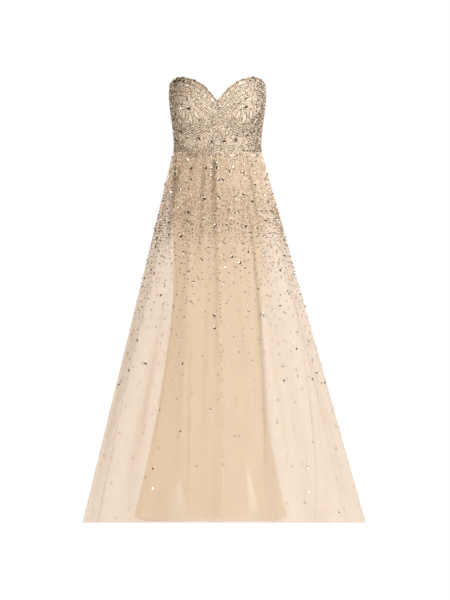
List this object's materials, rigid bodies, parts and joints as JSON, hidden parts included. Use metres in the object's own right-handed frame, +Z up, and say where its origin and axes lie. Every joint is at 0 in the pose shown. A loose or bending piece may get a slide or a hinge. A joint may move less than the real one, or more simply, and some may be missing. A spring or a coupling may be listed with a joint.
{
  "type": "strapless evening gown",
  "caption": "Floor-length strapless gown with a sweetheart bodice, a flared net overskirt, a slim lining skirt with front vents and a centre-back zip.",
  "frame": {"origin": "middle of the waist, at its narrowest level, on the axis of the bodice", "axes": "+Z up the wearer's body, -Y the way the wearer faces, +X the wearer's left"},
  "size_m": [0.821, 0.7414, 1.2919],
  "materials": {
    "bodice_satin": "satin under close beadwork",
    "net": "sheer nude net with scattered beads",
    "lining_satin": "smooth nude satin",
    "zip_coil": "dyed nylon coil",
    "slider_metal": "lacquered to match the cloth",
    "pull_metal": "lacquered to match the cloth"
  },
  "bodies": {
    "gown": {"bodice_front_left": "bodice_satin", "bodice_front_right": "bodice_satin", "bodice_side_front_left": "bodice_satin", "bodice_side_front_right": "bodice_satin", "bodice_side_back_left": "bodice_satin", "bodice_side_back_right": "bodice_satin", "bodice_back_left": "bodice_satin", "bodice_back_right": "bodice_satin", "overskirt_front_left": "net", "overskirt_front_right": "net", "overskirt_back_left": "net", "overskirt_back_right": "net", "lining_front": "lining_satin", "lining_side_left": "lining_satin", "lining_side_right": "lining_satin", "lining_back_left": "lining_satin", "lining_back_right": "lining_satin", "back_zip": "zip_coil", "zip_slider": "slider_metal"},
    "zip_pull": {"zip_pull": "pull_metal"}
  },
  "joints": [
    {"name": "zip_pull_swing", "type": "hinge", "parent": "gown", "child": "zip_pull", "pos_m": [0, 0.10354, 0.093], "axis": [1, 0, 0], "range_deg": [0, 150]}
  ]
}
